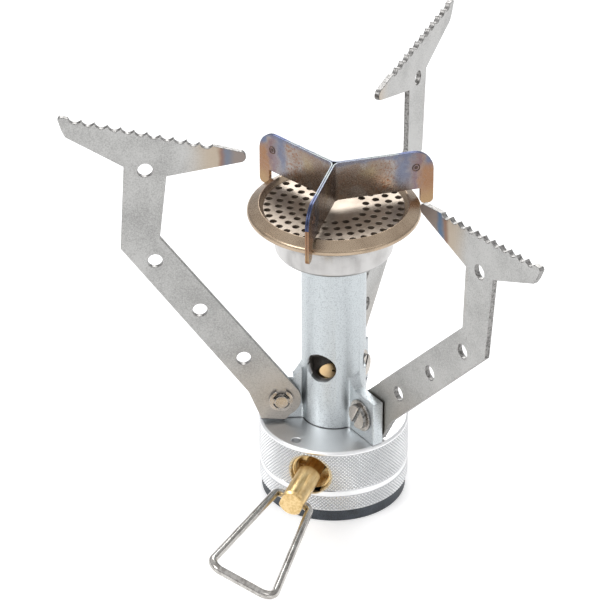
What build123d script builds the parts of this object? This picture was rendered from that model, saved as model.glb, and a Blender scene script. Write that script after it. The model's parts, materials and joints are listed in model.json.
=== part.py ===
from build123d import *
import os
from math import cos, pi, radians, sin, sqrt

# A small gas stove that screws onto a canister. The origin is on the burner's axis, in the plane
# that rests on the canister; +Z is up and the valve stem points along -Y. Sizes are millimetres.

fit_gap = 0.03

# Base
base_radius = 18.0
base_bottom = 3.16
base_top = 20.04
rim_chamfer = 0.5
knurl_root = 17.6
rim_low = 19.1
knurl_gap_low = 7.4
knurl_gap_high = 8.8
knurl_gap_radius = 17.75
edge_slope = 0.2
recess_radius = 14.2
recess_top = 5.2
ring_radius = 17.41
ring_chamfer = 0.3
spigot_inner = 15.2
spigot_outer = 16.2
spigot_top = 4.6
index_hole = (-4.39, -14.66)
index_hole_radius = 1.1
index_hole_depth = 2.4

# Valve block, thread for the canister and jet
block_radius = 8.0
block_bottom = 0.6
block_top = 17.0
neck_radius = 5.0
neck_top = 24.5
thread_radius = 5.15
thread_chamfer = 0.4
thread_top = 6.6
relief_radius = 5.5
relief_top = 9.0
seal_ring_radius = 4.5
seal_section = 0.78
filter_radius = 2.4
filter_top = 9.9
pin_radius = 0.8
pin_tip = 6.8
pin_top = 10.2
pin_collar_radius = 2.3
pin_collar_bottom = 8.1
pin_slot_radius = 0.5
pin_slot_reach = 1.55
passage_radius = 0.6
inlet_y = 1.6
outlet_y = -1.7
jet_shank_radius = 2.4
jet_shank_bottom = 21.5
jet_radius = 3.9
jet_top = 31.7
jet_chamfer = 0.45
jet_flat = 3.5
orifice_radius = 0.35

# Valve along -Y
valve_z = 13.05
side_hole_radius = 4.9
side_hole_flare = 1.0
flare_start = 17.25
port_radius = 4.85
port_start = 6.5
port_end = 16.2
port_bore = 4.3
gland_inner = 2.35
gland_near = 10.0
gland_far = 13.0
gland_slot = 1.2
stuffing_radius = 3.45
stuffing_near = 6.3
spindle_bore = 2.5
seat_y = 0.9
seat_radius = 0.9
seat_end = 2.6
spindle_thread = 2.4
needle_start = 2.0
needle_tip = 0.2
needle_base_radius = 1.45
needle_tip_radius = 0.25
groove_radius = 1.82
groove_near = 6.45
groove_far = 8.15
spindle_ring_radius = 2.63
spindle_ring_section = 0.78
stem_radius = 2.25
bar_start = 19.0
bar_end = 30.7
bar_radius = 3.4
bar_chamfer = 0.6
flat_distance = 2.7

# Wire handle, in a cross hole of the spindle
stem_turn = 21.9
handle_lift = 8.39
pivot_y = 28.77
wire_radius = 0.975
cross_hole_radius = 1.055
wire_end_inset = 1.0
handle_near_half = 4.43
handle_far_half = 8.2
handle_length = 42.77
near_bend = 1.9
far_bend = 3.0

# Burner column
tube_radius = 7.65
tube_bore = 5.6
tube_top = 65.3
swage_radius = 6.6
swage_lip_radius = 7.2
swage_top = 67.0
air_hole_radius = 3.8
air_hole_z = 36.6
air_hole_angles = (-96.5, 23.5, 143.5)
air_hole_reach = 9.0
lug_near = -0.9
lug_far = 1.9
lug_top = 31.5
lug_end = 17.8
web_rise = 3.2
web_reach = 2.2
cast_fillet = 0.9

# Burner head
sheet = 0.6
cup_radius = 13.9
cup_corner = 1.6
cup_flare = 0.6
cup_flange_inner = 17.4
cup_lap = 0.2
cup_wall_top = 71.5
cup_flange_radius = 19.2
cup_flange_top = 75.9
screen_radius = 16.9
screen_sheet = 0.3
plate_radius = 17.1
plate_sheet = 0.6
plate_hole_radius = 0.8
plate_rings = ((15.6, 36), (12.9, 30), (10.2, 24), (7.5, 18))
head_rim_radius = 20.28
head_rim_low = 75.15
rim_bead_rise = 1.7
rim_fold = 0.2
lip_to_bead = 19.53
lip_radius = 17.5
lip_top = 77.95
lip_inner = 16.4
lip_edge = 0.5

# Windshield: three bent sheets, back to back in pairs
vane_angles = (-86.0, 35.0, 155.0)
vane_sheet = 0.42
vane_gap = 0.03
vane_bend = 2.2
vane_radius = 24.0
vane_top = 88.4
vane_bottom = 78.6
tab_inner = 20.8
tab_bottom = 74.5
vane_corner = 5.0
tab_corner = 1.2
tab_root = 0.3
blade_slab = 7.0

# Pot supports, drawn at their level pose about the pivot
arm_angles = (-156.5, -36.5, 83.5)
arm_tilts = (14.3, 5.3, 6.5)
pivot_reach = 12.8
pivot_height = 26.3
arm_near = 2.16
arm_far = 3.49
pivot_bore = 1.75
strip_angle = 39.5
strip_half = 4.75
stop_corner = (3.4, -6.12)
stop_start = (-2.4, -5.2)
stop_notch = (4.6, -4.4)
hub_low = (-3.2, -3.5)
hub_out = 6.6
elbow_outer = (46.5, 32.8)
elbow_inner = (38.3, 37.6)
junction_outer = (50.6, 54.1)
junction_inner = (40.5, 53.7)
wing_low = (65.3, 58.9)
wing_chamfer = (66.5, 60.4)
tip_low = (24.4, 60.9)
tip_bulge = 0.6
tip_reach = 1.1
tip_drop = 0.2
top_level = 63.6
arm_end = 67.6
arm_end_low = (67.9, 62.8)
tooth_pitch = 3.06
tooth_count = 11
tooth_depth = 1.0
tooth_first = 31.9
hole_radius = 1.78
strip_holes = (14.9, 32.0, 49.2)
wing_hole = (45.6, 54.2)

# Pivot screws, washers and clips
shank_radius = 1.65
washer_radius = 3.9
washer_sheet = 0.5
head_radius = 3.0
head_height = 1.1
slot_width = 0.9
slot_depth = 0.55
clip_near = 3.6
clip_far = 4.2
clip_radius = 2.95
clip_inner = 2.1
clip_prong = 1.25
clip_gap = 2.3
prong_width = 1.3
prong_lap = 0.2
clip_groove = 1.2
shank_end = 4.8


def upright(radius, bottom, top):
    """A cylinder on the burner's axis between two heights."""
    return Pos(0, 0, bottom) * Cylinder(radius, top - bottom, align=(Align.CENTER, Align.CENTER, Align.MIN))


def turned(points):
    """A solid turned about the burner's axis from an outline of radii and heights."""
    outline = Plane.XZ * make_face(Polyline(*points, close=True))
    return revolve(outline, Axis.Z)


def across(radius, near, far):
    """A cylinder on the valve's axis, between two distances along -Y."""
    plane = Plane((0, -near, valve_z), x_dir=(1, 0, 0), z_dir=(0, -1, 0))
    return plane * Cylinder(radius, far - near, align=(Align.CENTER, Align.CENTER, Align.MIN))


def across_cone(near_radius, far_radius, near, far):
    """A cone on the valve's axis, between two distances along -Y."""
    plane = Plane((0, -near, valve_z), x_dir=(1, 0, 0), z_dir=(0, -1, 0))
    low = (Align.CENTER, Align.CENTER, Align.MIN)
    return plane * Cone(near_radius, far_radius, far - near, align=low)


def arm_plane(angle, offset):
    """The plane of an arm: X outward, Y up, seen against the direction that offsets count in."""
    outward = Vector(cos(radians(angle)), sin(radians(angle)), 0)
    sideways = Vector(-sin(radians(angle)), cos(radians(angle)), 0)
    origin = outward * pivot_reach + sideways * offset + Vector(0, 0, pivot_height)
    return Plane(origin, x_dir=outward, z_dir=sideways * -1)


def arm_disc(angle, radius, near, far):
    """A disc on an arm's pivot, between two offsets."""
    low = (Align.CENTER, Align.CENTER, Align.MIN)
    return arm_plane(angle, far) * Cylinder(radius, far - near, align=low)


def make_base_body():
    outline = [
        (0, base_top), (base_radius - rim_chamfer, base_top), (base_radius, base_top - rim_chamfer),
        (base_radius, rim_low), (knurl_root, rim_low - edge_slope), (knurl_root, knurl_gap_high),
        (knurl_gap_radius, knurl_gap_high), (knurl_gap_radius, knurl_gap_low),
        (knurl_root, knurl_gap_low), (knurl_root, base_bottom + edge_slope),
        (knurl_root - edge_slope, base_bottom), (spigot_outer, base_bottom), (spigot_outer, spigot_top),
        (spigot_inner, spigot_top), (spigot_inner, base_bottom), (recess_radius, base_bottom),
        (recess_radius, recess_top), (block_radius, recess_top), (block_radius, block_top), (0, block_top),
    ]
    body = turned(outline)
    body -= upright(neck_radius, block_top, base_top)
    body -= across(side_hole_radius, 0, base_radius + 1)
    body -= across_cone(side_hole_radius, side_hole_radius + side_hole_flare, flare_start, flare_start + 1)
    drill = Cylinder(index_hole_radius, index_hole_depth, align=(Align.CENTER, Align.CENTER, Align.MAX))
    return body - Pos(*index_hole, base_top) * drill


def make_base_ring():
    outline = [
        (recess_radius, 0), (ring_radius - ring_chamfer, 0), (ring_radius, ring_chamfer),
        (ring_radius, base_bottom), (spigot_outer, base_bottom), (spigot_outer, spigot_top),
        (spigot_inner, spigot_top), (spigot_inner, base_bottom), (recess_radius, base_bottom),
    ]
    return turned(outline)


def make_valve_block():
    outline = [
        (0, relief_top), (relief_radius, relief_top), (relief_radius, thread_top),
        (thread_radius, thread_top), (thread_radius, block_bottom + thread_chamfer),
        (thread_radius + thread_chamfer, block_bottom), (block_radius, block_bottom),
        (block_radius, block_top), (neck_radius, block_top), (neck_radius, neck_top), (0, neck_top),
    ]
    block = turned(outline) + across(port_radius, port_start, port_end)
    block -= across(port_bore, gland_near, port_end)
    block -= across(stuffing_radius, stuffing_near, gland_near)
    block -= across(spindle_bore, seat_y, stuffing_near)
    block -= across(seat_radius, -seat_end, seat_y)
    block -= upright(filter_radius, relief_top, filter_top)
    block -= upright(pin_radius, filter_top, pin_top)
    block -= Pos(0, inlet_y, 0) * upright(passage_radius, filter_top, valve_z)
    block -= Pos(0, outlet_y, 0) * upright(passage_radius, valve_z, block_top + 1)
    return block - upright(jet_shank_radius, block_top, neck_top)


def make_canister_seal():
    height = relief_top - seal_section - fit_gap
    return Pos(0, 0, height) * Torus(seal_ring_radius, seal_section)


def make_depressor_pin():
    collar = upright(pin_collar_radius, pin_collar_bottom, relief_top)
    pin = collar + upright(pin_radius, pin_tip, pin_top)
    for side in (-1, 1):
        pin -= Pos(side * pin_slot_reach, 0, 0) * upright(pin_slot_radius, pin_collar_bottom, relief_top)
    return pin


def make_inlet_filter():
    return upright(filter_radius, relief_top, filter_top) - upright(pin_radius, relief_top, filter_top)


def make_jet():
    outline = [
        (orifice_radius, jet_shank_bottom), (jet_shank_radius, jet_shank_bottom),
        (jet_shank_radius, neck_top), (jet_radius, neck_top), (jet_radius, jet_top - jet_chamfer),
        (jet_radius - jet_chamfer, jet_top), (orifice_radius, jet_top),
    ]
    jet = turned(outline)
    for side in (-1, 1):
        flat = Box(2, 2 * jet_radius, 3, align=(Align.MIN, Align.CENTER, Align.MIN))
        jet -= Rot(0, 0, 90 + 90 * side) * Pos(jet_flat, 0, neck_top) * flat
    return jet


def make_burner_tube():
    tube = upright(tube_radius, base_top, tube_top)
    for angle in arm_angles:
        tube += make_lug(angle)
    tube = fillet(cast_corners(tube), cast_fillet)
    tube += upright(swage_radius, tube_top, swage_top)
    tube += upright(swage_lip_radius, tube_top + sheet, swage_top)
    tube -= upright(tube_bore, neck_top, swage_top)
    tube -= upright(neck_radius, base_top, neck_top)
    for angle in air_hole_angles:
        tube -= radial_cylinder(angle, air_hole_radius, air_hole_reach)
    for angle in arm_angles:
        tube -= arm_disc(angle, shank_radius, lug_near, lug_far)
    return tube


def cast_corners(tube):
    """The upright inner corners between the tube and its lugs."""
    corners = []
    for edge in tube.edges().filter_by(Axis.Z):
        middle = edge @ 0.5
        on_tube = abs(sqrt(middle.X ** 2 + middle.Y ** 2) - tube_radius) < fit_gap
        is_seam = abs(middle.Y) < fit_gap
        if on_tube and not is_seam:
            corners.append(edge)
    return corners


def radial_cylinder(angle, radius, reach):
    """A level cylinder at the air holes' height, from the axis outward."""
    outward = Vector(cos(radians(angle)), sin(radians(angle)), 0)
    plane = Plane(Vector(0, 0, air_hole_z), z_dir=outward)
    return plane * Cylinder(radius, reach, align=(Align.CENTER, Align.CENTER, Align.MIN))


def make_lug(angle):
    """One upright ear beside an arm, with a small sloping web up the tube."""
    inner = (tube_bore + tube_radius) / 2 - pivot_reach
    face_x = sqrt(tube_radius ** 2 - lug_far ** 2) - pivot_reach
    low = base_top - pivot_height
    high = lug_top - pivot_height
    outline = Polyline(
        (inner, low), (lug_end - pivot_reach, low), (lug_end - pivot_reach, high),
        (face_x + web_reach, high), (face_x, high + web_rise), (inner, high + web_rise), close=True,
    )
    return extrude(arm_plane(angle, lug_far) * make_face(outline), lug_far - lug_near)


def make_burner_cup():
    floor = tube_top
    flange_low = cup_flange_top - sheet
    corner = (cup_radius - cup_corner * (1 - sin(pi / 4)), floor + cup_corner * (1 - cos(pi / 4)))
    outer = [
        Line((swage_radius, floor), (cup_radius - cup_corner, floor)),
        ThreePointArc((cup_radius - cup_corner, floor), corner, (cup_radius, floor + cup_corner)),
        Line((cup_radius, floor + cup_corner), (cup_radius + cup_flare, cup_wall_top)),
        Line((cup_radius + cup_flare, cup_wall_top), (cup_flange_inner + cup_lap, flange_low)),
        Line((cup_flange_inner + cup_lap, flange_low), (cup_flange_radius, flange_low)),
        Line((cup_flange_radius, flange_low), (cup_flange_radius, cup_flange_top)),
        Line((cup_flange_radius, cup_flange_top), (cup_flange_inner - cup_lap, cup_flange_top)),
        Line((cup_flange_inner - cup_lap, cup_flange_top), (cup_radius, cup_wall_top + cup_lap)),
        Line((cup_radius, cup_wall_top + cup_lap), (cup_radius - sheet, floor + cup_corner)),
        Line((cup_radius - sheet, floor + cup_corner), (cup_radius - cup_corner, floor + sheet)),
        Line((cup_radius - cup_corner, floor + sheet), (swage_radius, floor + sheet)),
        Line((swage_radius, floor + sheet), (swage_radius, floor)),
    ]
    return revolve(Plane.XZ * make_face(Wire(outer)), Axis.Z)


def make_mixing_screen():
    return upright(screen_radius, cup_flange_top, cup_flange_top + screen_sheet)


def make_flame_plate():
    bottom = cup_flange_top + screen_sheet
    plate = upright(plate_radius, bottom, bottom + plate_sheet)
    drill = Cylinder(plate_hole_radius, 4 * plate_sheet)
    places = []
    for ring, count in plate_rings:
        for index in range(count):
            angle = radians(360 * (index + 0.5) / count)
            places.append(Pos(ring * cos(angle), ring * sin(angle), bottom) * drill)
    return plate - places


def make_burner_rim():
    seat = cup_flange_top + screen_sheet + plate_sheet
    bead_top = (lip_to_bead, head_rim_low + rim_bead_rise)
    bead_low = (head_rim_radius - rim_fold, head_rim_low + rim_fold / 2)
    outline = [
        Line((lip_inner, seat), (lip_radius - lip_edge, lip_top - lip_edge)),
        Line((lip_radius - lip_edge, lip_top - lip_edge), (lip_radius, lip_top)),
        Line((lip_radius, lip_top), bead_top),
        ThreePointArc(bead_top, (head_rim_radius, head_rim_low + rim_bead_rise / 2), bead_low),
        Line(bead_low, (cup_flange_radius, head_rim_low - rim_fold)),
        Line((cup_flange_radius, head_rim_low - rim_fold), (cup_flange_radius, cup_flange_top)),
        Line((cup_flange_radius, cup_flange_top), (plate_radius, cup_flange_top)),
        Line((plate_radius, cup_flange_top), (plate_radius, seat)),
        Line((plate_radius, seat), (lip_inner, seat)),
    ]
    return revolve(Plane.XZ * make_face(Wire(outline)), Axis.Z)


def make_vane(first, second):
    """One sheet bent round the burner's axis, with a leg in each of two blades."""
    middle = vane_gap + vane_sheet / 2
    half = radians((second - first) / 2)
    bisector = radians((first + second) / 2)
    start = radians(first)
    end = radians(second)
    near = (cos(bisector) * middle / sin(half), sin(bisector) * middle / sin(half))
    leg_one = (
        vane_radius * cos(start) - middle * sin(start), vane_radius * sin(start) + middle * cos(start)
    )
    leg_two = (vane_radius * cos(end) + middle * sin(end), vane_radius * sin(end) - middle * cos(end))
    path = FilletPolyline(leg_one, near, leg_two, radius=vane_bend)
    strip = make_face(offset_wire(path))
    blade = extrude(Pos(0, 0, tab_bottom) * strip, vane_top - tab_bottom)
    return blade & (vane_outline(first) + vane_outline(second))


def offset_wire(path):
    """The closed outline of a strip of sheet along a path."""
    return trace(path, vane_sheet).faces()[0].outer_wire()


def vane_outline(angle):
    """The side view of a blade, with the tab that hooks over the rim, as a thick slab."""
    outward = Vector(cos(radians(angle)), sin(radians(angle)), 0)
    sideways = Vector(-sin(radians(angle)), cos(radians(angle)), 0)
    plane = Plane(sideways * (blade_slab / 2), x_dir=outward, z_dir=sideways * -1)
    edge = FilletPolyline(
        (0, vane_top), (vane_radius, vane_top), (vane_radius, tab_bottom),
        (tab_inner, tab_bottom), (tab_inner, vane_bottom), (0, vane_bottom),
        radius=(vane_corner, tab_corner, tab_corner, tab_root),
    )
    face = make_face(edge + Line((0, vane_bottom), (0, vane_top)))
    return extrude(plane * face, blade_slab)


def on_strip(along, aside):
    """A point on the arm's lower strip, from distances along and across it."""
    turn = radians(strip_angle)
    return (along * cos(turn) - aside * sin(turn), along * sin(turn) + aside * cos(turn))


def arm_outline():
    """The outline of an arm at its level pose, about the pivot."""
    near_inner = on_strip(0, strip_half)
    near_back = on_strip(-strip_half, 0)
    near_outer = on_strip(hub_out, -strip_half)
    tip_top = (tip_low[0] + tip_reach, top_level - tip_drop)
    tip_middle = (tip_low[0] - tip_bulge, (tip_low[1] + top_level) / 2)
    curves = [
        Line(near_inner, elbow_inner),
        Line(elbow_inner, junction_inner),
        Line(junction_inner, tip_low),
        ThreePointArc(tip_low, tip_middle, tip_top),
        Line(tip_top, (tooth_first, top_level)),
    ]
    for index in range(tooth_count):
        left = tooth_first + index * tooth_pitch
        right = left + tooth_pitch
        middle = (left + right) / 2
        curves.append(
            ThreePointArc((left, top_level), (middle, top_level - tooth_depth), (right, top_level))
        )
    last = tooth_first + tooth_count * tooth_pitch
    corners = [
        (last, top_level), (arm_end, top_level), arm_end_low, wing_chamfer, wing_low,
        junction_outer, elbow_outer, near_outer, stop_notch, stop_corner, stop_start, hub_low,
    ]
    for start, end in zip(corners, corners[1:]):
        curves.append(Line(start, end))
    curves.append(ThreePointArc(hub_low, near_back, near_inner))
    return make_face(Wire(curves))


def make_arm(angle, tilt):
    """A pot support, turned inward from its level pose about its pivot."""
    face = arm_outline()
    face -= Circle(pivot_bore)
    face -= Pos(*wing_hole) * Circle(hole_radius)
    for along in strip_holes:
        face -= Pos(*on_strip(along, 0)) * Circle(hole_radius)
    plate = extrude(Rot(0, 0, tilt) * face, arm_far - arm_near)
    return arm_plane(angle, arm_far) * plate


def make_pivot_screw(angle):
    head_near = lug_near - washer_sheet - head_height
    screw = arm_disc(angle, head_radius, head_near, lug_near - washer_sheet)
    screw += arm_disc(angle, shank_radius, lug_near - washer_sheet, clip_near)
    screw += arm_disc(angle, clip_groove, clip_near, clip_far)
    screw += arm_disc(angle, shank_radius, clip_far, shank_end)
    slot = Box(2 * head_radius, slot_width, slot_depth, align=(Align.CENTER, Align.CENTER, Align.MIN))
    return screw - arm_plane(angle, head_near + slot_depth) * Rot(0, 0, 62) * slot


def make_pivot_washer(angle):
    ring = arm_disc(angle, washer_radius, lug_near - washer_sheet, lug_near)
    return ring - arm_disc(angle, shank_radius, lug_near - washer_sheet, lug_near)


def make_e_clip(angle):
    """A retaining clip: an open ring with three prongs in the screw's groove."""
    face = Circle(clip_radius) - Circle(clip_inner)
    for turn in (-90, 0, 180):
        reach = (clip_prong + clip_inner) / 2 + prong_lap
        prong = Rectangle(clip_inner - clip_prong + 2 * prong_lap, prong_width)
        face += Rot(0, 0, turn) * Pos(reach, 0) * prong
    face -= Circle(clip_prong)
    face -= Pos(0, clip_radius) * Rectangle(clip_gap, 2 * clip_inner)
    return arm_plane(angle, clip_far) * extrude(face, clip_far - clip_near)


def make_valve_spindle():
    spindle = across_cone(needle_tip_radius, needle_base_radius, -needle_tip, needle_start)
    spindle += across(spindle_thread, needle_start, groove_near)
    spindle += across(groove_radius, groove_near, groove_far)
    spindle += across(stem_radius, groove_far, bar_start)
    bar = across(bar_radius, bar_start, bar_end - bar_chamfer)
    bar += across_cone(bar_radius, bar_radius - bar_chamfer, bar_end - bar_chamfer, bar_end)
    turn = Pos(0, 0, valve_z) * Rot(0, stem_turn, 0)
    length = bar_end - bar_start
    for side in (-1, 1):
        slab = Box(2, length, 3 * bar_radius)
        bar -= turn * Pos(side * (flat_distance + 1), -(bar_start + bar_end) / 2, 0) * slab
    bar -= turn * Pos(0, -pivot_y, 0) * Rot(0, 90, 0) * Cylinder(cross_hole_radius, 3 * bar_radius)
    return spindle + bar


def make_gland_nut():
    nut = across(port_bore, gland_near, gland_far) - across(gland_inner, gland_near, gland_far)
    slot = Pos(0, -gland_far, valve_z) * Box(2 * port_bore, 2, gland_slot)
    return nut - slot


def make_spindle_seal():
    plane = Plane((0, -(groove_near + groove_far) / 2, valve_z), z_dir=(0, -1, 0))
    return plane * Torus(spindle_ring_radius, spindle_ring_section)


def make_wire_handle():
    """A bent wire loop whose two ends sit in the spindle's cross hole."""
    turn = radians(stem_turn)
    lift = radians(handle_lift)
    pivot = Vector(0, -pivot_y, valve_z)
    along = Vector(cos(turn), 0, -sin(turn))
    outward = Vector(sin(turn) * sin(lift), -cos(lift), cos(turn) * sin(lift))
    corners = [
        pivot + along * wire_end_inset,
        pivot + along * handle_near_half,
        pivot + along * handle_far_half + outward * handle_length,
        pivot - along * handle_far_half + outward * handle_length,
        pivot - along * handle_near_half,
        pivot - along * wire_end_inset,
    ]
    path = FilletPolyline(*corners, radius=(near_bend, far_bend, far_bend, near_bend))
    section = Plane(corners[0], z_dir=along) * Circle(wire_radius)
    return sweep(section, path=path)


def save(shape, name):
    """Write one piece, as its own solids."""
    solids = shape.solids()
    piece = solids[0] if len(solids) == 1 else Compound(children=list(solids))
    export_step(piece, f"parts/{name}.step")


os.makedirs("parts", exist_ok=True)
save(make_base_body(), "base_body")
save(make_base_ring(), "base_ring")
save(make_valve_block(), "valve_block")
save(make_canister_seal(), "canister_seal")
save(make_depressor_pin(), "depressor_pin")
save(make_inlet_filter(), "inlet_filter")
save(make_jet(), "jet")
save(make_burner_tube(), "burner_tube")
save(make_burner_cup(), "burner_cup")
save(make_mixing_screen(), "mixing_screen")
save(make_flame_plate(), "flame_plate")
save(make_burner_rim(), "burner_rim")
for number in range(3):
    following = vane_angles[(number + 1) % 3] + (360 if number == 2 else 0)
    save(make_vane(vane_angles[number], following), f"windshield_vane_{number + 1}")
    save(make_arm(arm_angles[number], arm_tilts[number]), f"pot_support_{number + 1}")
    save(make_pivot_screw(arm_angles[number]), f"pivot_screw_{number + 1}")
    save(make_pivot_washer(arm_angles[number]), f"pivot_washer_{number + 1}")
    save(make_e_clip(arm_angles[number]), f"e_clip_{number + 1}")
save(make_valve_spindle(), "valve_spindle")
save(make_spindle_seal(), "spindle_seal")
save(make_gland_nut(), "gland_nut")
save(make_wire_handle(), "wire_handle")
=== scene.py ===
import bmesh
import bpy
import json
import math
from mathutils import Matrix, Vector


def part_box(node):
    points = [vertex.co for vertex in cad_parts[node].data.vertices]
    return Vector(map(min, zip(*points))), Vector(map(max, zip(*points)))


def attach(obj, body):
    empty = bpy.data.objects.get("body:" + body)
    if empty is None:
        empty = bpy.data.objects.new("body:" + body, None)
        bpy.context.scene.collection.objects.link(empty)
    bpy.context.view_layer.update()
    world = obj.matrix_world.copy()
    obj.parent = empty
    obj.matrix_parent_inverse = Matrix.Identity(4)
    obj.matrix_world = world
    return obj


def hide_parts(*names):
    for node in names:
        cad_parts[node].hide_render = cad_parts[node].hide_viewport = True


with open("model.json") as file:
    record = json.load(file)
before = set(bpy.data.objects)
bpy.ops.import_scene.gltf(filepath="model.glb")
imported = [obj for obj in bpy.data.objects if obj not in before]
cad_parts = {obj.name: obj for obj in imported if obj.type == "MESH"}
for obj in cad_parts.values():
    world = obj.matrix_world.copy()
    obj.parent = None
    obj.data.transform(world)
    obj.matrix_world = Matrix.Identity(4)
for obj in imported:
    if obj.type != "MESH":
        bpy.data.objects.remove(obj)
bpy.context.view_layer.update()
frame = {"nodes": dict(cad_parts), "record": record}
nodes = frame["nodes"]
bodies = frame["record"]["behaviour"]["bodies"]
mm = 0.001
bladeAngles = (-86.0, 35.0, 155.0)
armAngles = {"pot_support_1": -156.5, "pot_support_2": -36.5, "pot_support_3": 83.5}
valveHeight = 13.05   # of the axis of the valve stem and of its hole, in mm
mergeGap = {"cad": 0.002 * mm, "grown": 0.0005 * mm}   # corners nearer than this become one
print("frame loaded:", len(nodes), "nodes")


# camera

cameraPlace = {
    "azimuth": 19.5, "elevation": 31.292, "roll": -0.211,
    "x": 0.229107, "y": -0.670889, "z": 0.482299, "lens": 211.17,
}


def placeCamera(place):
    azimuth = math.radians(place["azimuth"])
    elevation = math.radians(place["elevation"])
    roll = math.radians(place["roll"])
    level = Vector((math.cos(azimuth), math.sin(azimuth), 0))
    back = Vector((math.sin(azimuth) * math.cos(elevation), -math.cos(azimuth) * math.cos(elevation),
                   math.sin(elevation)))
    above = back.cross(level)
    right = level * math.cos(roll) + above * math.sin(roll)
    up = above * math.cos(roll) - level * math.sin(roll)
    data = bpy.data.cameras.new("camera")
    data.lens = place["lens"]
    data.sensor_width = 36
    data.clip_start = 0.01
    data.clip_end = 20
    camera = bpy.data.objects.new("camera", data)
    turn = Matrix((right, up, back)).transposed().to_4x4()
    camera.matrix_world = Matrix.Translation((place["x"], place["y"], place["z"])) @ turn
    bpy.context.scene.collection.objects.link(camera)
    bpy.context.scene.camera = camera


placeCamera(cameraPlace)
print("camera placed")


# sums of sockets, for shaders and for geometry

class Wire:
    def __init__(self, bench, socket):
        self.bench = bench
        self.socket = socket

    def sum(self, operation, *values):
        return self.bench.node("ShaderNodeMath", {"operation": operation}, values)

    def __add__(self, other):
        return self.sum("ADD", self, other)

    def __radd__(self, other):
        return self.sum("ADD", other, self)

    def __sub__(self, other):
        return self.sum("SUBTRACT", self, other)

    def __rsub__(self, other):
        return self.sum("SUBTRACT", other, self)

    def __mul__(self, other):
        return self.sum("MULTIPLY", self, other)

    def __truediv__(self, other):
        return self.sum("DIVIDE", self, other)

    def __pow__(self, other):
        return self.sum("POWER", self, other)

    def __mod__(self, other):
        return self.sum("FLOORED_MODULO", self, other)

    def __gt__(self, other):
        return self.sum("GREATER_THAN", self, other)

    def __lt__(self, other):
        return self.sum("LESS_THAN", self, other)

    def floor(self):
        return self.sum("FLOOR", self)

    def sine(self):
        return self.sum("SINE", self)

    def cosine(self):
        return self.sum("COSINE", self)

    def least(self, other):
        return self.sum("MINIMUM", self, other)

    def most(self, other):
        return self.sum("MAXIMUM", self, other)

    def between(self, low, high):   # 0 below low, 1 above high, smooth in between
        return self.bench.node("ShaderNodeMapRange", {"interpolation_type": "SMOOTHSTEP"},
                               {"Value": self, "From Min": low, "From Max": high})

    def near(self, middle, reach):   # 1 at the middle, 0 past the reach
        return 1 - self.sum("ABSOLUTE", self - middle).between(0, reach)


class Bench:
    def __init__(self, tree):
        self.tree = tree
        tree.nodes.clear()

    def put(self, socket, value):
        if isinstance(value, Wire):
            self.tree.links.new(value.socket, socket)
        elif value is not None:
            socket.default_value = value

    def node(self, kind, settings=None, values=None, output=0):
        made = self.tree.nodes.new(kind)
        for name, value in (settings or {}).items():
            setattr(made, name, value)
        pairs = values.items() if isinstance(values, dict) else enumerate(values or ())
        for name, value in pairs:
            self.put(made.inputs[name], value)
        return Wire(self, made.outputs[output])


sideRim = {"radius": 5.1, "width": 0.6, "front": -15}   # the gilt rim of the hole for the valve stem


class Finish(Bench):
    def __init__(self, name):
        self.material = bpy.data.materials.new(name)
        self.material.use_nodes = True
        super().__init__(self.material.node_tree)
        self.place = self.node("ShaderNodeTexCoord", output="Object")
        self.x = self.part(self.place, "X")
        self.y = self.part(self.place, "Y")
        self.z = self.part(self.place, "Z")

    def part(self, vector, axis):
        return self.node("ShaderNodeSeparateXYZ", values=(vector,), output=axis)

    def radius(self):
        return (self.x * self.x + self.y * self.y) ** 0.5

    def turn(self):
        return self.node("ShaderNodeMath", {"operation": "ARCTAN2"}, (self.y, self.x))

    def stretched(self, scale):
        return self.node("ShaderNodeMapping", None, {"Vector": self.place, "Scale": scale})

    def round(self):   # coordinates that run round the axis, for turned faces
        return self.node("ShaderNodeCombineXYZ", None, (self.radius(), self.turn() * 0.6, self.z))

    def noise(self, scale, detail=3, vector=None, rough=0.55):
        values = {"Vector": vector or self.place, "Scale": scale, "Detail": detail, "Roughness": rough}
        return self.node("ShaderNodeTexNoise", None, values)

    def sideHoleRim(self):   # 1 on the rim, 0 elsewhere
        rise = self.z / mm - valveHeight
        across = self.x / mm
        spread = (across * across + rise * rise) ** 0.5
        return spread.near(sideRim["radius"], sideRim["width"]) * (self.y / mm < sideRim["front"])

    def flecks(self, scale):
        values = {"Vector": self.place, "Scale": scale}
        return self.node("ShaderNodeTexVoronoi", {"feature": "F1"}, values)

    def mix(self, factor, first, second):
        values = {0: factor, 6: colour(first), 7: colour(second)}
        return self.node("ShaderNodeMix", {"data_type": "RGBA"}, values, 2)

    def bump(self, height, depth):
        values = {"Height": height, "Distance": depth * mm, "Strength": 1.0}
        return self.node("ShaderNodeBump", None, values)

    def done(self, **values):
        shader = self.tree.nodes.new("ShaderNodeBsdfPrincipled")
        for name, value in values.items():
            socket = shader.inputs[name.replace("_", " ")]
            self.put(socket, colour(value) if name == "Base_Color" else value)
        out = self.tree.nodes.new("ShaderNodeOutputMaterial")
        self.tree.links.new(shader.outputs[0], out.inputs[0])
        return self.material


def colour(value):
    return (*value, 1) if isinstance(value, tuple) and len(value) == 3 else value


# finishes

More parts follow.
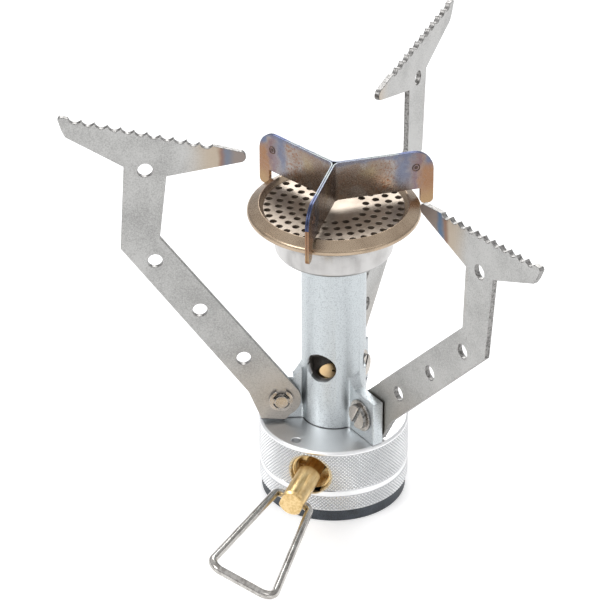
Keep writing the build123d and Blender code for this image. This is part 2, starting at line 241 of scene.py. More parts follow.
def knurledAluminium():
    look = {"shaded valley": (0.56, 0.57, 0.58), "crest": (0.94, 0.945, 0.95), "gilt": (0.80, 0.66, 0.40),
            "rough": 0.26, "teeth": (17.58, 17.9)}
    finish = Finish("knurledAluminium")
    cloud = finish.noise(260, 4)
    grain = finish.noise(9000, 2)
    # painted shade: the tone darkens from the crests of the teeth down into the valleys between them
    height = (finish.radius() / mm).between(*look["teeth"])
    tone = (height * 0.8 + cloud * 0.35 + grain * 0.2 - 0.15).most(0).least(1)
    metal = finish.mix(tone, look["shaded valley"], look["crest"])
    return finish.done(
        Base_Color=finish.mix(finish.sideHoleRim() * 0.8, metal, look["gilt"]), Metallic=1.0,
        Roughness=look["rough"] + grain * 0.2 + (1 - height) * 0.15,
        Normal=finish.bump(grain + cloud, 0.03))


def turnedAluminium():
    look = {"dark": (0.84, 0.845, 0.85), "pale": (0.97, 0.975, 0.98), "gilt": (0.80, 0.66, 0.40),
            "crease shade": (0.10, 0.10, 0.105), "rough": 0.27, "crease shade place": (7.75, 0.3), "crease shade height": 19.5}
    finish = Finish("turnedAluminium")
    rings = finish.noise(9000, 2, finish.round())
    cloud = finish.noise(140, 3)
    grain = finish.noise(7000, 2)
    tone = (rings * 0.6 + cloud * 0.4).between(0.3, 0.65)
    metal = finish.mix(tone, look["dark"], look["pale"])
    metal = finish.mix(finish.sideHoleRim() * 0.8, metal, look["gilt"])
    # painted shade: a dark ring on the base's top face where the column stands on it
    foot = (finish.radius() / mm).near(*look["crease shade place"]) * (finish.z / mm > look["crease shade height"])
    return finish.done(
        Base_Color=finish.mix(foot * 0.9, metal, look["crease shade"]), Metallic=1.0,
        Roughness=look["rough"] + rings * 0.14 + grain * 0.08, Normal=finish.bump(rings, 0.012))


def castColumn():
    look = {"pit": (0.44, 0.47, 0.49), "skin": (0.60, 0.64, 0.655), "crease shade": (0.07, 0.07, 0.075),
            "bore": (0.15, 0.11, 0.085), "rough": 0.32, "wall": (6.3, 7.5), "foot": (20.05, 20.4)}
    finish = Finish("castColumn")
    speckle = finish.noise(3600, 3, rough=0.7)
    cloud = finish.noise(180, 4)
    pits = speckle.between(0.34, 0.52)
    tone = (pits * 0.8 + cloud * 0.2).most(0)
    metal = finish.mix(tone, look["pit"], look["skin"])
    metal = finish.mix((1 - (finish.radius() / mm).between(*look["wall"])) * 0.75, metal, look["bore"])
    # painted shade: the lowest part of the column, where it stands on the base, is painted dark
    foot = 1 - (finish.z / mm).between(*look["foot"])
    return finish.done(
        Base_Color=finish.mix(foot * 0.9, metal, look["crease shade"]), Metallic=1.0,
        Roughness=look["rough"] + (1 - pits) * 0.25 + cloud * 0.1, Normal=finish.bump(speckle, 0.05))


def brass():
    look = {"deep": (0.66, 0.44, 0.18), "pale": (0.86, 0.65, 0.34), "jet": (0.11, 0.07, 0.032),
            "rough": 0.22, "jet height": (24, 25)}
    finish = Finish("brass")
    along = finish.noise(1700, 3, finish.stretched((1, 0.08, 1)))
    stains = finish.noise(420, 4)
    grain = finish.noise(8000, 2)
    tone = (along * 0.6 + stains * 0.4).between(0.34, 0.6)
    metal = finish.mix(tone, look["deep"], look["pale"])
    return finish.done(
        Base_Color=finish.mix((finish.z / mm).between(*look["jet height"]) * 0.9, metal, look["jet"]),
        Metallic=1.0, Roughness=look["rough"] + along * 0.12 + grain * 0.08,
        Normal=finish.bump(along, 0.008))


def darkRing():
    look = {"low": (0.018, 0.022, 0.028), "high": (0.05, 0.062, 0.078)}
    finish = Finish("darkRing")
    grain = finish.noise(4200, 3)
    cloud = finish.noise(260, 3)
    tone = (grain * 0.5 + cloud * 0.5).between(0.35, 0.65)
    return finish.done(
        Base_Color=finish.mix(tone, look["low"], look["high"]), Metallic=0.0,
        Roughness=0.42 + grain * 0.2, Normal=finish.bump(grain, 0.02))


def sealRubber():
    look = {"low": (0.01, 0.01, 0.011), "high": (0.035, 0.035, 0.038)}
    finish = Finish("sealRubber")
    grain = finish.noise(3000, 3)
    return finish.done(
        Base_Color=finish.mix(grain, look["low"], look["high"]), Metallic=0.0,
        Roughness=0.6 + grain * 0.2, Normal=finish.bump(grain, 0.01))


def sinteredBronze():
    look = {"ball": (0.62, 0.42, 0.24), "gap": (0.2, 0.12, 0.07)}
    finish = Finish("sinteredBronze")
    balls = finish.flecks(4500)
    return finish.done(
        Base_Color=finish.mix(balls.between(0.1, 0.7), look["ball"], look["gap"]), Metallic=1.0,
        Roughness=0.5 + balls * 0.2, Normal=finish.bump(1 - balls, 0.08))


def headSteel():
    look = {"dark": (0.44, 0.43, 0.42), "pale": (0.58, 0.57, 0.56), "crease shade": (0.12, 0.12, 0.115),
            "rough": 0.2, "corner": (65.9, 0.5)}
    finish = Finish("headSteel")
    streaks = finish.noise(500, 3, finish.stretched((1, 1, 0.08)))
    grain = finish.noise(6000, 2)
    cloud = finish.noise(150, 3)
    tone = (streaks * 0.3 + cloud * 0.7).between(0.3, 0.62)
    metal = finish.mix(tone, look["dark"], look["pale"])
    # painted shade: a dark line round the cup at its lower corner, near 65.9 mm up
    corner = (finish.z / mm).near(*look["corner"])
    return finish.done(
        Base_Color=finish.mix(corner * 0.7, metal, look["crease shade"]), Metallic=1.0,
        Roughness=look["rough"] + grain * 0.12 + cloud * 0.08,
        Normal=finish.bump(cloud * 0.5 + grain * 0.5, 0.015))


def screenWire():
    look = {"dark": (0.05, 0.04, 0.032), "pale": (0.16, 0.13, 0.10)}
    finish = Finish("screenWire")
    grain = finish.noise(5000, 2)
    return finish.done(
        Base_Color=finish.mix(grain, look["dark"], look["pale"]), Metallic=1.0,
        Roughness=0.5 + grain * 0.2)


def flamePlateSteel():
    look = {"dark": (0.30, 0.245, 0.195), "pale": (0.50, 0.435, 0.365), "rough": 0.40}
    finish = Finish("flamePlateSteel")
    cloud = finish.noise(130, 4)
    grain = finish.noise(5200, 3)
    tone = (cloud * 0.7 + grain * 0.3).between(0.32, 0.62)
    return finish.done(
        Base_Color=finish.mix(tone, look["dark"], look["pale"]), Metallic=1.0,
        Roughness=look["rough"] + grain * 0.16, Normal=finish.bump(grain * 0.4 + cloud, 0.03))


def rimSteel():
    look = {"dark": (0.30, 0.22, 0.155), "pale": (0.53, 0.415, 0.30), "rough": 0.17}
    finish = Finish("rimSteel")
    spin = finish.noise(5200, 3, finish.round())
    spots = finish.noise(2600, 3, rough=0.7)
    cloud = finish.noise(150, 3)
    tone = (spin * 0.4 + cloud * 0.45 + spots * 0.15).between(0.3, 0.62)
    return finish.done(
        Base_Color=finish.mix(tone, look["dark"], look["pale"]), Metallic=1.0,
        Roughness=look["rough"] + spin * 0.14 + spots * 0.08,
        Normal=finish.bump(spin * 0.7 + spots * 0.3, 0.012))


def heatTintedSteel():
    look = {
        "body": (0.27, 0.215, 0.18), "lilac": (0.33, 0.30, 0.285), "rust": (0.24, 0.12, 0.07),
        "sheen": (0.42, 0.35, 0.21), "blue": (0.12, 0.15, 0.235), "violet": (0.155, 0.095, 0.13),
        "orange": (0.30, 0.155, 0.08), "gold": (0.36, 0.24, 0.135), "rough": 0.17,
    }
    near = {   # a middle and a half width, in mm from the axis or above the ground
        "sheen reach": (7.5, 3.5), "sheen height": (84.5, 3.0), "rust reach": (13, 5),
        "blue reach": (17.0, 2.6), "violet reach": (19.6, 1.8), "top edge": (88.3, 1.2),
    }
    past = {   # where a tint starts and where it is full, in mm
        "blue height": (76, 84), "corner reach": (20.5, 22.5), "corner height": (83, 86),
        "tab reach": (19.5, 21.5), "tab height": (83, 86), "tip reach": (20, 22),
        "tip height": (75.5, 80),
    }
    finish = Finish("heatTintedSteel")
    wander = finish.noise(190, 3)
    speckle = finish.noise(1500, 4, rough=0.75)
    grain = finish.noise(7000, 2)
    reach = finish.radius() / mm + (wander - 0.5) * 7
    height = finish.z / mm + (wander - 0.5) * 3
    tone = finish.mix(wander.between(0.4, 0.6), look["body"], look["lilac"])
    # painted highlight: a paler golden tone near the axis, about 84.5 mm up, where the blades bend
    sheen = reach.near(*near["sheen reach"]) * height.near(*near["sheen height"]) * 0.5
    tone = finish.mix(sheen, tone, look["sheen"])
    rust = speckle.between(0.48, 0.62) * (0.35 + reach.near(*near["rust reach"]) * 0.6)
    tone = finish.mix(rust, tone, look["rust"])
    blue = reach.near(*near["blue reach"]) * 0.75 * height.between(*past["blue height"])
    tone = finish.mix(blue, tone, look["blue"])
    tone = finish.mix(reach.near(*near["violet reach"]) * 0.6, tone, look["violet"])
    corner = reach.between(*past["corner reach"]) * height.between(*past["corner height"]) * 0.9
    tone = finish.mix(corner, tone, look["blue"])
    tone = finish.mix(height.near(*near["top edge"]) * 0.6, tone, look["blue"])
    tab = reach.between(*past["tab reach"]) * (1 - height.between(*past["tab height"]))
    tone = finish.mix(tab * (0.55 + speckle * 0.5), tone, look["orange"])
    tip = (1 - height.between(*past["tip height"])) * reach.between(*past["tip reach"])
    tone = finish.mix(tip, tone, look["gold"])
    return finish.done(
        Base_Color=tone, Metallic=1.0, Roughness=look["rough"] + speckle * 0.2,
        Normal=finish.bump(speckle * 0.5 + grain * 0.5, 0.02))


def weldScale():
    look = {"dark": (0.075, 0.055, 0.05), "warm": (0.22, 0.14, 0.10)}
    finish = Finish("weldScale")
    cloud = finish.noise(1400, 3)
    grain = finish.noise(6000, 2)
    return finish.done(
        Base_Color=finish.mix(cloud.between(0.4, 0.65), look["dark"], look["warm"]), Metallic=1.0,
        Roughness=0.34 + grain * 0.2, Normal=finish.bump(grain, 0.01))


def tintedEdge():
    look = {"plain": (0.17, 0.185, 0.185), "blue": (0.07, 0.085, 0.16), "gold": (0.30, 0.17, 0.09),
            "rough": 0.24, "blue reach": (14, 16.5), "blue height": (79, 81), "gold reach": (20, 22),
            "gold height": (79.5, 82.5)}
    finish = Finish("tintedEdge")
    wander = finish.noise(240, 3)
    grain = finish.noise(6000, 2)
    reach = finish.radius() / mm + (wander - 0.5) * 6
    height = finish.z / mm + (wander - 0.5) * 3
    tone = finish.mix(wander.between(0.46, 0.6) * 0.5, look["plain"], look["blue"])
    blue = reach.between(*look["blue reach"]) * height.between(*look["blue height"])
    tone = finish.mix(blue, tone, look["blue"])
    gold = reach.between(*look["gold reach"]) * (1 - height.between(*look["gold height"]))
    tone = finish.mix(gold, tone, look["gold"])
    return finish.done(
        Base_Color=tone, Metallic=1.0, Roughness=look["rough"] + grain * 0.2,
        Normal=finish.bump(grain, 0.015))


def armSteel(name, tint):
    look = {"dark": (0.31, 0.308, 0.30), "pale": (0.49, 0.488, 0.476), "rough": 0.30,
            "tan": (0.46, 0.38, 0.29), "brown": (0.24, 0.13, 0.09), "blue": (0.085, 0.17, 0.29),
            "scale": (0.26, 0.235, 0.22), "wing height": (70, 74), "foot height": (26, 44)}
    widths = {"tan": 8, "brown": 1.4, "scale": 1.0, "blue": 1.7}   # of the bands near the tip, in mm
    finish = Finish(name)
    speckle = finish.noise(3000, 4, rough=0.75)
    cloud = finish.noise(120, 3)
    grain = finish.noise(9000, 2)
    tone = finish.mix((speckle * 0.7 + cloud * 0.3).between(0.36, 0.6), look["dark"], look["pale"])
    reach = finish.radius() / mm + (cloud - 0.5) * 3
    high = (finish.z / mm).between(*look["wing height"])
    for band, width in widths.items():
        inside = 1 - reach.between(tint[band], tint[band] + width)
        spread = reach.near(tint[band], width) if band == "blue" else inside
        depth = tint["blue depth"] if band == "blue" else 0.85
        tone = finish.mix(spread * high * depth, tone, look[band])
    warm = (1 - (finish.z / mm).between(*look["foot height"])) * 0.35
    tone = finish.mix(warm, tone, look["tan"])
    return finish.done(
        Base_Color=tone, Metallic=1.0, Roughness=look["rough"] + speckle * 0.14,
        Normal=finish.bump(speckle * 0.6 + grain * 0.4, 0.02))


def shearedSteel():
    look = {"dark": (0.15, 0.146, 0.14), "pale": (0.36, 0.353, 0.343), "rough": 0.32}
    # the darker steel of the sheared edges, also used as painted shade on the floors of the screws' slots
    finish = Finish("shearedSteel")
    drag = finish.noise(1800, 3)
    grain = finish.noise(7000, 2)
    return finish.done(
        Base_Color=finish.mix(drag.between(0.35, 0.6), look["dark"], look["pale"]), Metallic=1.0,
        Roughness=look["rough"] + drag * 0.2, Normal=finish.bump(drag * 0.6 + grain * 0.4, 0.03))


def nickelHardware():
    look = {"dark": (0.40, 0.365, 0.325), "pale": (0.62, 0.58, 0.53), "rough": 0.2}
    finish = Finish("nickelHardware")
    cloud = finish.noise(300, 3)
    grain = finish.noise(6000, 3)
    tone = (cloud * 0.6 + grain * 0.4).between(0.36, 0.58)
    return finish.done(
        Base_Color=finish.mix(tone, look["dark"], look["pale"]),
        Metallic=1.0, Roughness=look["rough"] + grain * 0.12, Normal=finish.bump(grain, 0.006))


def handleWire():
    look = {"dark": (0.36, 0.34, 0.315), "pale": (0.60, 0.58, 0.55), "rough": 0.16}
    finish = Finish("handleWire")
    draw = finish.noise(1300, 2, finish.stretched((1, 0.03, 1)))
    cloud = finish.noise(300, 3)
    return finish.done(
        Base_Color=finish.mix((draw * 0.6 + cloud * 0.4).between(0.36, 0.6), look["dark"], look["pale"]),
        Metallic=1.0, Roughness=look["rough"] + draw * 0.1)


armTints = {   # where each band starts, in mm from the axis
    "arm_left": {"tan": 28, "brown": 25.6, "scale": 24.6, "blue": 24.6, "blue depth": 0.45},
    "arm_right": {"tan": 42, "brown": 40.6, "scale": 39.4, "blue": 38.9, "blue depth": 0.85},
    "arm_back": {"tan": 28, "brown": 27, "scale": 26, "blue": 25, "blue depth": 0.2},
}
finishes = {
    "knurled_aluminium": knurledAluminium(),
    "turned": turnedAluminium(),
    "dark_ring": darkRing(),
    "brass": brass(),
    "seal_rubber": sealRubber(),
    "sintered_bronze": sinteredBronze(),
    "cast_column": castColumn(),
    "head_steel": headSteel(),
    "screen_wire": screenWire(),
    "flame_plate_steel": flamePlateSteel(),
    "rim_steel": rimSteel(),
    "heat_tinted_steel": heatTintedSteel(),
    "tinted_edge": tintedEdge(),
    "weld_scale": weldScale(),
    "sheared_and_slot_shade": shearedSteel(),
    "nickel_hardware": nickelHardware(),
    "handle_wire": handleWire(),
    "arm_left": armSteel("armSteelLeft", armTints["arm_left"]),
    "arm_right": armSteel("armSteelRight", armTints["arm_right"]),
    "arm_back": armSteel("armSteelBack", armTints["arm_back"]),
}
print("finishes made:", len(finishes))


# CAD nodes shown as merged copies with rounded edges

def bodyOf(node):
    return next(name for name, members in bodies.items() if node in members)


def mergedCopy(node, name, angle, rounded):
    mesh = nodes[node].data.copy()
    build = bmesh.new()
    build.from_mesh(mesh)
    bmesh.ops.remove_doubles(build, verts=build.verts, dist=mergeGap["cad"])
    bmesh.ops.dissolve_limit(build, angle_limit=math.radians(0.5), verts=build.verts, edges=build.edges)
    weight = build.edges.layers.float.new("bevel_weight_edge")
    for edge in build.edges:   # the edges to round: sharp ones, in the places that the piece allows
        sharp = len(edge.link_faces) == 2 and edge.calc_face_angle() > math.radians(angle)
        middle = (edge.verts[0].co + edge.verts[1].co) / (2 * mm)
        edge[weight] = 1.0 if sharp and rounded(middle) else 0.0
    build.to_mesh(mesh)
    build.free()
    mesh.materials.clear()
    piece = bpy.data.objects.new(name, mesh)
    bpy.context.scene.collection.objects.link(piece)
    return piece


def roundEdges(piece, width, angle, segments):
    piece.data.shade_smooth()
    piece.data.set_sharp_from_angle(angle=math.radians(angle))
    bevel = piece.modifiers.new("roundedEdges", "BEVEL")
    bevel.width = width * mm
    bevel.segments = segments
    bevel.limit_method = "WEIGHT"
    bevel.use_clamp_overlap = False
    weighted = piece.modifiers.new("flatFaces", "WEIGHTED_NORMAL")
    weighted.keep_sharp = True


def anywhere(middle):
    return True


def standFor(node, name, slot, edge, angle=40, segments=2, extra=(), choose=None, rounded=anywhere):
    piece = mergedCopy(node, name, angle, rounded)
    for material in (slot, *extra):
        piece.data.materials.append(finishes[material])
    for face in piece.data.polygons:
        face.material_index = choose(face) if choose else 0
    roundEdges(piece, edge, angle, segments)
    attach(piece, bodyOf(node))
    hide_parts(node)
    return piece


def slotted(piece):
    return piece


sharpHole = {"front": -12, "half height": 6.6, "half width": 6.2}   # edges in here stay sharp, in mm


def offTheSideHole(middle):
    rise = abs(middle.z - valveHeight)
    return (middle.y > sharpHole["front"] or rise > sharpHole["half height"]
            or abs(middle.x) > sharpHole["half width"])


slotted(standFor("base_body", "baseBody", "turned", 0.14, rounded=offTheSideHole))
slotted(standFor("base_ring", "baseRing", "dark_ring", 0.2))

brassPieces = {   # each with its name and the rounding of its edges in mm
    "valve_block": ("valveBlock", 0.1), "jet": ("gasJet", 0.12), "valve_spindle": ("valveSpindle", 0.09),
    "gland_nut": ("glandNut", 0.08), "depressor_pin": ("depressorPin", 0.05),
}
for node, (name, edge) in brassPieces.items():
    slotted(standFor(node, name, "brass", edge))

for node, name in (("canister_seal", "canisterSeal"), ("spindle_seal", "spindleSeal")):
    slotted(standFor(node, name, "seal_rubber", 0.02))
slotted(standFor("inlet_filter", "inletFilter", "sintered_bronze", 0.04))


columnRadius = 8.7   # in mm; past it are the column's lugs


def onTheLugs(middle):
    return math.hypot(middle.x, middle.y) > columnRadius


column = standFor("burner_tube", "burnerColumn", "cast_column", 0.28, angle=50, segments=3,
                  rounded=onTheLugs)
slotted(column)
slotted(standFor("burner_cup", "burnerCup", "head_steel", 0.1))
slotted(standFor("mixing_screen", "mixingScreen", "screen_wire", 0.05))
slotted(standFor("flame_plate", "flamePlate", "flame_plate_steel", 0.05, segments=1))
slotted(standFor("burner_rim", "burnerRim", "rim_steel", 0.12))


def sideOf(angle):
    turn = math.radians(angle)
    return Vector((-math.sin(turn), math.cos(turn), 0))


def vaneFace(face):   # the sheet's own faces are 0, its cut edges 1
    rise = abs(face.normal.z)
    flat = max(abs(face.normal.dot(sideOf(angle))) for angle in bladeAngles)
    return 1 if rise > 0.7 or (rise > 0.02 and flat < 0.9) or flat < 0.3 else 0


for number in (1, 2, 3):
    vane = standFor(f"windshield_vane_{number}", f"windshieldVane{number}", "heat_tinted_steel", 0.07,
                    extra=("tinted_edge",), choose=vaneFace)
    slotted(vane)

armPieces = {
    "pot_support_1": ("potSupportLeft", "arm_left"), "pot_support_2": ("potSupportRight", "arm_right"),
    "pot_support_3": ("potSupportBack", "arm_back"),
}
hardware = {"pivot_screw": ("pivotScrew", 0.12), "pivot_washer": ("pivotWasher", 0.08),
            "e_clip": ("retainingClip", 0.08)}
slotDepth = 0.55   # of a pivot screw's slot, in mm


def armFace(side):   # the sheet's own faces are 0, its cut edges 1
    def choose(face):
        return 0 if abs(face.normal.dot(side)) > 0.7 else 1
    return choose


def hardwareFace(side, slot):   # flat faces are 0, rims and the floor of a screw's slot 1; the slot floor gets the dark steel as painted shade
    def choose(face):
        rim = abs(face.normal.dot(side)) < 0.5
        # painted shade: the floor of a screw's slot takes the darker steel so that the slot shows as a
        # dark line
        slotFloor = slot is not None and abs(face.center.dot(side) - slot) < 0.03 * mm
        return 1 if rim or slotFloor else 0
    return choose


def slotFloorOf(node, side):
    return min(point.co.dot(side) for point in nodes[node].data.vertices) + slotDepth * mm


for number, (node, (name, material)) in enumerate(armPieces.items(), 1):
    side = sideOf(armAngles[node])
    arm = standFor(node, name, material, 0.12, extra=("sheared_and_slot_shade",), choose=armFace(side))
    slotted(arm)
    for kind, (label, edge) in hardware.items():
        node = f"{kind}_{number}"
        slot = slotFloorOf(node, side) if kind == "pivot_screw" else None
        piece = standFor(node, label + str(number), "nickel_hardware", edge, extra=("sheared_and_slot_shade",),
                         choose=hardwareFace(side, slot))
        slotted(piece)

slotted(standFor("wire_handle", "wireHandle", "handle_wire", 0.1, angle=60))
print("copies of CAD nodes finished")


# pieces grown by geometry nodes

class Grower(Bench):
    def __init__(self, name, inputs):
        tree = bpy.data.node_groups.new(name, "GeometryNodeTree")
        super().__init__(tree)
        kinds = {float: "NodeSocketFloat", int: "NodeSocketInt", bpy.types.Material: "NodeSocketMaterial"}
        self.identifiers = {}
        for label, value in inputs.items():
            socket = tree.interface.new_socket(name=label, in_out="INPUT", socket_type=kinds[type(value)])
            self.identifiers[label] = socket.identifier
        tree.interface.new_socket(name="Geometry", in_out="OUTPUT", socket_type="NodeSocketGeometry")
        group = tree.nodes.new("NodeGroupInput")
        self.inputs = {label: Wire(self, group.outputs[label]) for label in inputs}
        self.values = inputs

    def vector(self, x, y, z):
        return self.node("ShaderNodeCombineXYZ", None, (x, y, z))

    def finish(self, geometry):
        whole = self.node("GeometryNodeRealizeInstances", None, {"Geometry": geometry})
        done = self.node("GeometryNodeSetMaterial", None,
                         {"Geometry": whole, "Material": self.inputs["Material"]})
        out = self.tree.nodes.new("NodeGroupOutput")
        self.tree.links.new(done.socket, out.inputs[0])

    def grow(self, name, body, slot, smooth):
        holder = bpy.data.objects.new(name + "Holder", bpy.data.meshes.new(name + "Holder"))
        bpy.context.scene.collection.objects.link(holder)
        modifier = holder.modifiers.new("grow", "NODES")
        modifier.node_group = self.tree
        for label, value in self.values.items():
            modifier[self.identifiers[label]] = value
        shown = holder.evaluated_get(bpy.context.evaluated_depsgraph_get())
        mesh = bpy.data.meshes.new_from_object(shown)
        holder.modifiers.remove(modifier)
        bpy.data.objects.remove(holder)
        build = bmesh.new()
        build.from_mesh(mesh)
        bmesh.ops.remove_doubles(build, verts=build.verts, dist=mergeGap["grown"])
        bmesh.ops.recalc_face_normals(build, faces=build.faces)
        build.to_mesh(mesh)
        build.free()
        if smooth:
            mesh.shade_smooth()
        else:
            mesh.shade_flat()
        piece = bpy.data.objects.new(name, mesh)
        bpy.context.scene.collection.objects.link(piece)
        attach(piece, body)
        print("grown:", name, len(mesh.polygons), "faces")
        return piece


def knurlTree(sizes):
    grower = Grower("knurlBand", sizes)
    size = grower.inputs
    columns = size["Around"] * 2
    rows = size["Rows"]
    grid = grower.node("GeometryNodeMeshGrid", None,
                       {"Size X": 1.0, "Size Y": 1.0, "Vertices X": columns + 1, "Vertices Y": rows + 3})
    place = grower.node("GeometryNodeInputPosition")
    across = grower.node("ShaderNodeSeparateXYZ", None, (place,), "X") + 0.5
    along = grower.node("ShaderNodeSeparateXYZ", None, (place,), "Y") + 0.5
    column = (across * columns + 0.5).floor()
    row = (along * (rows + 2) + 0.5).floor()
    crest = ((column + row) % 2 < 0.5) * (row > 1.5) * (row < rows - 0.5)
    outside = (row > 0.5) * (row < rows + 0.5)
    radius = size["Inner"] + outside * (size["Root"] - size["Inner"])
    radius = radius + crest * (size["Crest"] - size["Root"])
    step = ((row - 1).most(0).least(rows - 1)) * (row < rows + 1.5) / (rows - 1)
    height = size["Low"] + step * (size["High"] - size["Low"])
    turn = across * (2 * math.pi)
    corner = grower.vector(radius * turn.cosine(), radius * turn.sine(), height)
    wrapped = grower.node("GeometryNodeSetPosition", None, {"Geometry": grid, "Position": corner})
    closed = grower.node("GeometryNodeMergeByDistance", None,
                         {"Geometry": wrapped, "Distance": mergeGap["cad"]})
    drilled = grower.node("GeometryNodeTriangulate", {"quad_method": "SHORTEST_DIAGONAL"},
                          {"Mesh": closed})
    for start, top in (("Hole start", "Hole radius"), ("Flare start", "Flare radius")):
        drill = grower.node("GeometryNodeMeshCone", None, {
            "Vertices": size["Hole sides"], "Radius Top": size[top], "Radius Bottom": size["Hole radius"],
            "Depth": size["Hole end"] - size[start]})
        drill = grower.node("GeometryNodeTransform", None, {
            "Geometry": drill, "Rotation": (math.pi / 2, 0, 0),
            "Translation": grower.vector(0.0, 0 - size[start], size["Hole height"])})
        drilled = grower.node("GeometryNodeMeshBoolean", {"operation": "DIFFERENCE", "solver": "EXACT"},
                              {"Mesh 1": drilled, "Mesh 2": drill})
    grower.finish(drilled)
    return grower


baseLow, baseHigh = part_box("base_body")
knurl = {
    "Around": 124, "Rows": 23, "Inner": 17.4 * mm, "Root": 17.61 * mm, "Crest": 17.99 * mm,
    "Low": baseLow.z + 5.7 * mm, "High": baseHigh.z - 1.0 * mm,
    "Hole radius": 4.93 * mm, "Flare radius": 5.98 * mm, "Hole start": 16.0 * mm,
    "Flare start": 17.25 * mm, "Hole end": 18.3 * mm, "Hole height": valveHeight * mm, "Hole sides": 96,
    "Material": finishes["knurled_aluminium"],
}
knurlTree(knurl).grow("upperKnurl", "stove", "knurled_aluminium", False)
lowerKnurl = {**knurl, "Rows": 10, "Low": baseLow.z + 0.1 * mm, "High": baseLow.z + 4.2 * mm}
knurlTree(lowerKnurl).grow("lowerKnurl", "stove", "knurled_aluminium", False)


def threadTree(sizes):
    grower = Grower("threadRidge", sizes)
    size = grower.inputs
    path = grower.node("GeometryNodeCurveSpiral", None, {
        "Resolution": size["Steps"], "Rotations": size["Turns"], "Start Radius": size["Radius"],
        "End Radius": size["Radius"], "Height": size["Turns"] * size["Pitch"]})
    section = grower.node("GeometryNodeCurvePrimitiveCircle", None,
                          {"Resolution": size["Sides"], "Radius": size["Section"]})
    ridge = grower.node("GeometryNodeCurveToMesh", None,
                        {"Curve": path, "Profile Curve": section, "Fill Caps": True})
    placed = grower.node("GeometryNodeTransform", None, {
        "Geometry": ridge, "Rotation": grower.vector(size["Tilt"], 0.0, 0.0),
        "Translation": grower.vector(0.0, size["Y"], size["Z"])})
    grower.finish(placed)
    return grower


socketThread = {
    "Radius": 5.3 * mm, "Pitch": 0.907 * mm, "Turns": 5.8, "Section": 0.22 * mm, "Steps": 56, "Sides": 4,
    "Tilt": 0.0, "Y": 0.0, "Z": 1.0 * mm, "Material": finishes["brass"],
}
threadTree(socketThread).grow("socketThread", "stove", "brass", True)
portThread = {**socketThread, "Radius": 4.32 * mm, "Pitch": 0.7 * mm, "Turns": 4.0,
              "Tilt": math.pi / 2, "Y": -13.1 * mm, "Z": valveHeight * mm}
threadTree(portThread).grow("portThread", "stove", "brass", True)


def weldTree(sizes):
    grower = Grower("spotWelds", sizes)
    size = grower.inputs
    points = grower.node("GeometryNodeMeshLine", None, {"Count": 6, "Offset": (0.0, 0.0, 0.0)})
    index = grower.node("GeometryNodeInputIndex")
    blade = (index / 2).floor()
    side = 1 - (index % 2) * 2
    turn = size["First"] + (blade > 0.5) * (size["Second"] - size["First"]) + (blade > 1.5) * (
        size["Third"] - size["Second"])
    place = grower.vector(
        size["Reach"] * turn.cosine() - size["Off"] * side * turn.sine(),
        size["Reach"] * turn.sine() + size["Off"] * side * turn.cosine(), size["Height"])
    points = grower.node("GeometryNodeSetPosition", None, {"Geometry": points, "Position": place})
    path = grower.node("GeometryNodeCurvePrimitiveCircle", None,
                       {"Resolution": size["Steps"], "Radius": size["Ring"]})
    section = grower.node("GeometryNodeCurvePrimitiveCircle", None,
                          {"Resolution": size["Sides"], "Radius": size["Section"]})
    ring = grower.node("GeometryNodeCurveToMesh", None, {"Curve": path, "Profile Curve": section})
    dome = grower.node("GeometryNodeMeshIcoSphere", None,
                       {"Radius": size["Ring"] * size["Dome"], "Subdivisions": 2})
    dome = grower.node("GeometryNodeTransform", None,
                       {"Geometry": dome, "Scale": grower.vector(1.0, 1.0, size["Flatness"])})
    button = grower.node("GeometryNodeJoinGeometry", None, {"Geometry": ring})
    grower.tree.links.new(dome.socket, button.socket.node.inputs["Geometry"])
    facing = grower.vector(math.pi / 2, 0.0, turn)
    spread = grower.node("GeometryNodeInstanceOnPoints", None,
                         {"Points": points, "Instance": button, "Rotation": facing})
    grower.finish(spread)
    return grower


spotWeld = {
    "First": math.radians(bladeAngles[0]), "Second": math.radians(bladeAngles[1]),
    "Third": math.radians(bladeAngles[2]), "Reach": 19.7 * mm, "Height": 84.3 * mm, "Off": 0.45 * mm,
    "Ring": 0.85 * mm, "Section": 0.15 * mm, "Steps": 22, "Sides": 6, "Dome": 0.55, "Flatness": 0.12,
    "Material": finishes["weld_scale"],
}
weldTree(spotWeld).grow("spotWelds", "stove", "heat_tinted_steel", True)


# floor, light and surroundings

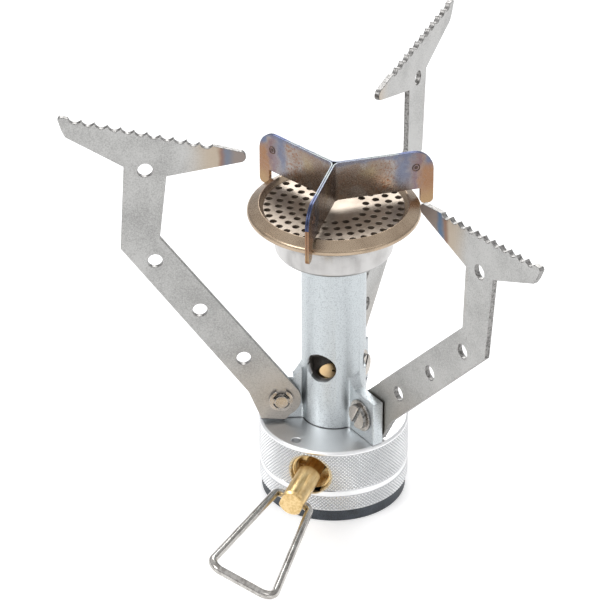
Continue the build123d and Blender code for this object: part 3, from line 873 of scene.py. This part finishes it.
studio = {
    "floor": (0.80, 0.80, 0.80), "reach": 6.0, "glow": 0.42, "world": 1.0,
    "horizon": (0.38, 0.38, 0.39), "zenith": (0.72, 0.72, 0.73), "sky rise": (0.05, 0.55),
    "lamps": (
        ("keyLamp", (-0.55, -0.75, 0.85), 0.5, 4.5),
        ("fillLamp", (0.75, -0.35, 0.55), 0.4, 0.8),
        ("backLamp", (-0.22, 0.8, 0.62), 0.45, 3.6),
    ),
    "aim": Vector((0, 0, 0.045)),
}


def buildStudio(plan):
    mesh = bpy.data.meshes.new("studioFloor")
    reach = plan["reach"]
    corners = [(-reach, -reach, 0), (reach, -reach, 0), (reach, reach, 0), (-reach, reach, 0)]
    mesh.from_pydata(corners, [], [(0, 1, 2, 3)])
    floor = bpy.data.objects.new("studioFloor", mesh)
    bpy.context.scene.collection.objects.link(floor)
    paint = Finish("paleFloor")
    mesh.materials.append(paint.done(
        Base_Color=plan["floor"], Roughness=0.9, Emission_Color=(1, 1, 1, 1),
        Emission_Strength=plan["glow"]))
    world = bpy.data.worlds.new("studioWorld")
    bpy.context.scene.world = world
    world.use_nodes = True
    bench = Bench(world.node_tree)
    direction = bench.node("ShaderNodeTexCoord", output="Generated")
    height = bench.node("ShaderNodeSeparateXYZ", None, (direction,), "Z")
    sky = bench.node("ShaderNodeMix", {"data_type": "RGBA"}, {
        0: height.between(*plan["sky rise"]), 6: colour(plan["horizon"]), 7: colour(plan["zenith"])}, 2)
    glow = bench.node("ShaderNodeBackground", None, {"Color": sky, "Strength": plan["world"]})
    out = world.node_tree.nodes.new("ShaderNodeOutputWorld")
    world.node_tree.links.new(glow.socket, out.inputs[0])
    for name, place, size, power in plan["lamps"]:
        data = bpy.data.lights.new(name, "AREA")
        data.shape = "SQUARE"
        data.size = size
        data.energy = power
        lamp = bpy.data.objects.new(name, data)
        lamp.location = place
        lamp.rotation_euler = (plan["aim"] - Vector(place)).to_track_quat("-Z", "Y").to_euler()
        bpy.context.scene.collection.objects.link(lamp)
    settings = bpy.context.scene.view_settings
    settings.view_transform = "Standard"
    settings.look = "None"


buildStudio(studio)
print("studio lit")
